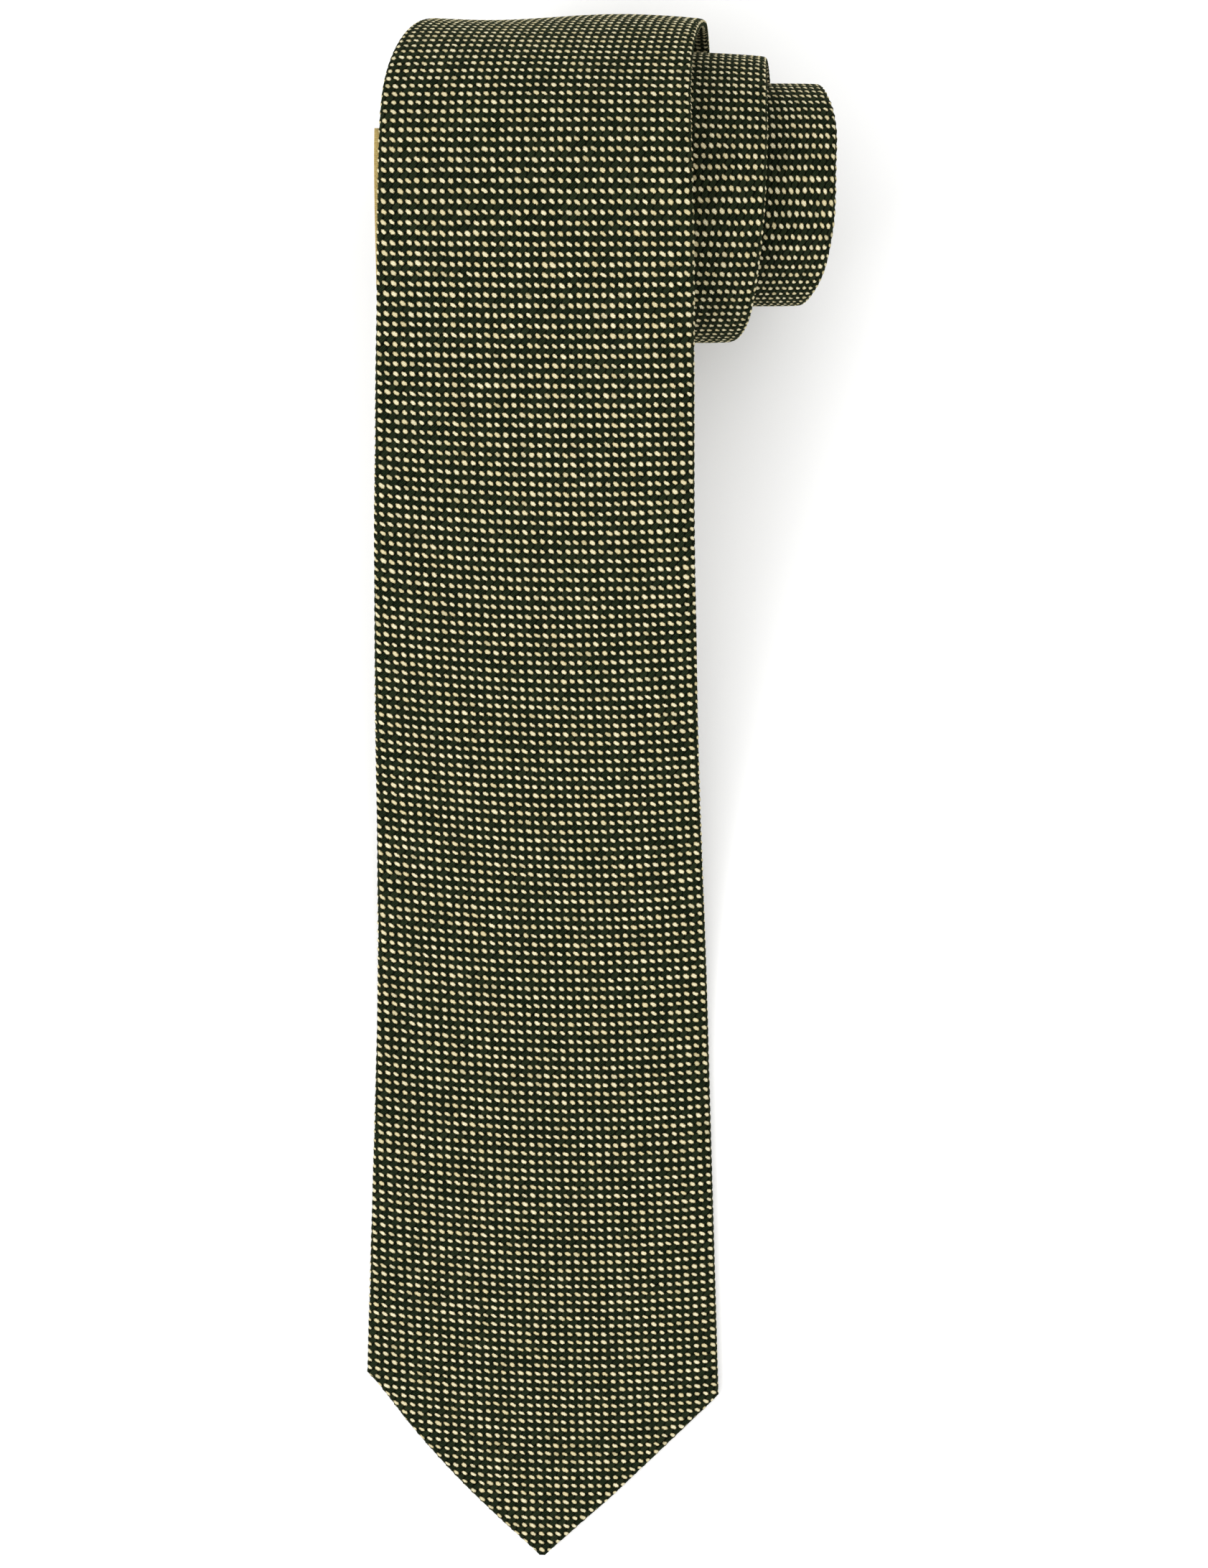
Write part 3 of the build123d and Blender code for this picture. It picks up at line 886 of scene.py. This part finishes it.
STRETCHES = [
    # name, start, end, how it moves, prefix of its CAD nodes, and mesh cells per dot
    ("blade", 0.0, FIRST_CUT, "lift", "blade", 3),
    ("outer_turn", FIRST_CUT, SECOND_CUT, "outer_slide", "outer_turn", 3),
    ("middle_turn", SECOND_CUT, THIRD_CUT, "middle_turn", "middle_turn", 3),
    ("inner_turn", THIRD_CUT, FOURTH_CUT, "inner_slide", None, 3),
    ("neck", FOURTH_CUT, NECK_TAIL, "core", "neck", 2),
    ("tail", NECK_TAIL, TIE_LENGTH, "core", "tail", 2),
]


def finish_piece(piece, material, slot, how, *nodes):
    """Material and body of a piece, and the CAD nodes that it stands for; the slot is not used.
    """
    piece.data.materials.append(material)
    if nodes:
        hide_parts(*nodes)
    attach(piece, how)


def inset_sides(inset):
    """The left and right edges of a layer that stays inside the envelope."""
    return (lambda s: half_width(s, False) - inset), (lambda s: half_width(s, True) - inset)


def make_envelope(materials):
    """Cloth, interlining and slip stitch of every stretch."""
    for name, start, end, how, prefix, samples in STRETCHES:
        samples = samples
        cloth = cloth_piece(name + "_cloth", start, end, samples)
        nodes = [prefix + "_shell"] if prefix else []
        finish_piece(cloth, materials["cloth"], "tie_cloth", how, *nodes)

        first = max(start, WOOL_SHORT)
        last = min(end, TIE_LENGTH - WOOL_SHORT)
        inner = band_piece(name + "_wool", first, last, *inset_sides(WOOL_INSET),
                           WOOL_DEPTH, WOOL_THICKNESS, columns=6, step=2.0)
        mean = float(half_width(np.linspace(first, last, 60), True).mean())
        declare_band(inner, 2 * (mean - WOOL_INSET))
        nodes = [prefix + "_interlining"] if prefix else []
        finish_piece(inner, materials["wool"], "interlining", how, *nodes)

        closed_from = max(start, BACK_OPENING)
        closed_to = min(end, TIE_LENGTH - TAIL_OPENING)
        stitch = slip_stitch(name + "_ladder_stitch", closed_from, closed_to)
        nodes = [prefix + "_slip_stitch"] if prefix else []
        finish_piece(stitch, materials["thread"], "thread", how, *nodes)


def make_tipping(materials):
    """Lining behind each point."""
    left, right = inset_sides(LINING_INSET)
    blade_end = BACK_OPENING + LINING_OVERLAP
    tail_start = TIE_LENGTH - TAIL_OPENING - LINING_OVERLAP
    tail_end = TIE_LENGTH - LINING_SHORT
    for name, first, last, columns, step, body, node in (
        ("blade_lining", LINING_SHORT, blade_end, 24, 2.0, "blade", "blade_tipping"),
        ("tail_lining", tail_start, tail_end, 12, 1.0, "core", "tail_tipping"),
    ):
        lining = band_piece(name, first, last, left, right, LINING_DEPTH, LINING_THICKNESS,
                            columns, step)
        places = np.linspace(first, last, 80)
        declare_band(lining, float((left(places) + right(places)).mean()))
        finish_piece(lining, materials["lining"], "tipping", body, node)


def make_labels(materials):
    """The gold keeper band and the blank care label on the back."""
    start = ROLL_TOP + KEEPER_START
    under = -THICKNESS - LABEL_GAP
    keeper = band_piece("gold_keeper", start, start + KEEPER_LENGTH, KEEPER_LEFT, KEEPER_RIGHT,
                        under, KEEPER_THICKNESS, columns=36, step=1.0, bow=0.55)
    declare_band(keeper, KEEPER_LEFT + KEEPER_RIGHT)
    finish_piece(keeper, materials["keeper"], "keeper_label", "outer_turn", "keeper_loop")
    places = [(start + 1.5 + KEEPER_PITCH * k, x)
              for x in (3.0 - KEEPER_LEFT, KEEPER_RIGHT - 3.0) for k in range(KEEPER_STITCHES)]
    stitches = row_stitches("keeper_stitching", places, 2.1, under - KEEPER_THICKNESS - 0.12)
    finish_piece(stitches, materials["gold_thread"], "thread", "outer_turn", "keeper_stitches")

    end = HINGE_AT - CARE_END
    care = band_piece("care_tape", end - CARE_LENGTH, end, CARE_WIDTH / 2, CARE_WIDTH / 2,
                      under, CARE_THICKNESS, columns=12, step=1.0, bow=0.25)
    declare_band(care, CARE_WIDTH)
    finish_piece(care, materials["tape"], "care_label", "blade", "care_label")
    places = [(end - 1.6, -6.2 + CARE_PITCH * k) for k in range(CARE_STITCHES)]
    depth = under - CARE_THICKNESS - 0.12
    seam = row_stitches("care_stitching", places, 1.8, depth, across=True)
    finish_piece(seam, materials["thread"], "thread", "blade")


def make_tacks(materials):
    """A bar tack at each end of the closed back."""
    blade = bar_tack("blade_tack", BACK_OPENING - 1.6, 8.0)
    finish_piece(blade, materials["thread"], "thread", "blade", "blade_bar_tack")
    tail = bar_tack("tail_tack", TIE_LENGTH - TAIL_OPENING, 5.0)
    finish_piece(tail, materials["thread"], "thread", "core", "tail_bar_tack")


def make_panel_seams(materials):
    """Two allowances at each seam between panels, pressed open inside the envelope."""
    for node, at in (("blade_neck_seam", BLADE_NECK), ("neck_tail_seam", NECK_TAIL)):
        width = 2 * (float(half_width(np.array([at]), True)[0]) - SEAM_INSET)
        flaps = band_piece(node + "_flaps", at - SEAM_ALLOWANCE, at + SEAM_ALLOWANCE,
                           *inset_sides(SEAM_INSET), SEAM_DEPTH, SEAM_THICKNESS,
                           columns=8, step=1.0)
        declare_band(flaps, width)
        finish_piece(flaps, materials["seam"], "tie_cloth", "core", node)


def make_tie():
    """Every piece of the tie."""
    green, deep = linear(26, 48, 30), linear(16, 32, 18)
    materials = {
        "cloth": dotted_cloth(),
        "wool": felted_wool(),
        "thread": sewing_thread("green_thread", linear(24, 38, 24), linear(52, 70, 46)),
        "gold_thread": sewing_thread("gold_thread", linear(150, 118, 48), linear(206, 176, 96)),
        "lining": satin("lining_satin", green, deep),
        "keeper": keeper_satin(),
        "tape": woven_tape(),
        "seam": satin("seam_cloth", linear(46, 54, 36), linear(84, 84, 58), 0.4, 0.75),
    }
    make_envelope(materials)
    make_tipping(materials)
    make_labels(materials)
    make_tacks(materials)
    make_panel_seams(materials)


make_camera()
make_studio()
make_tie()
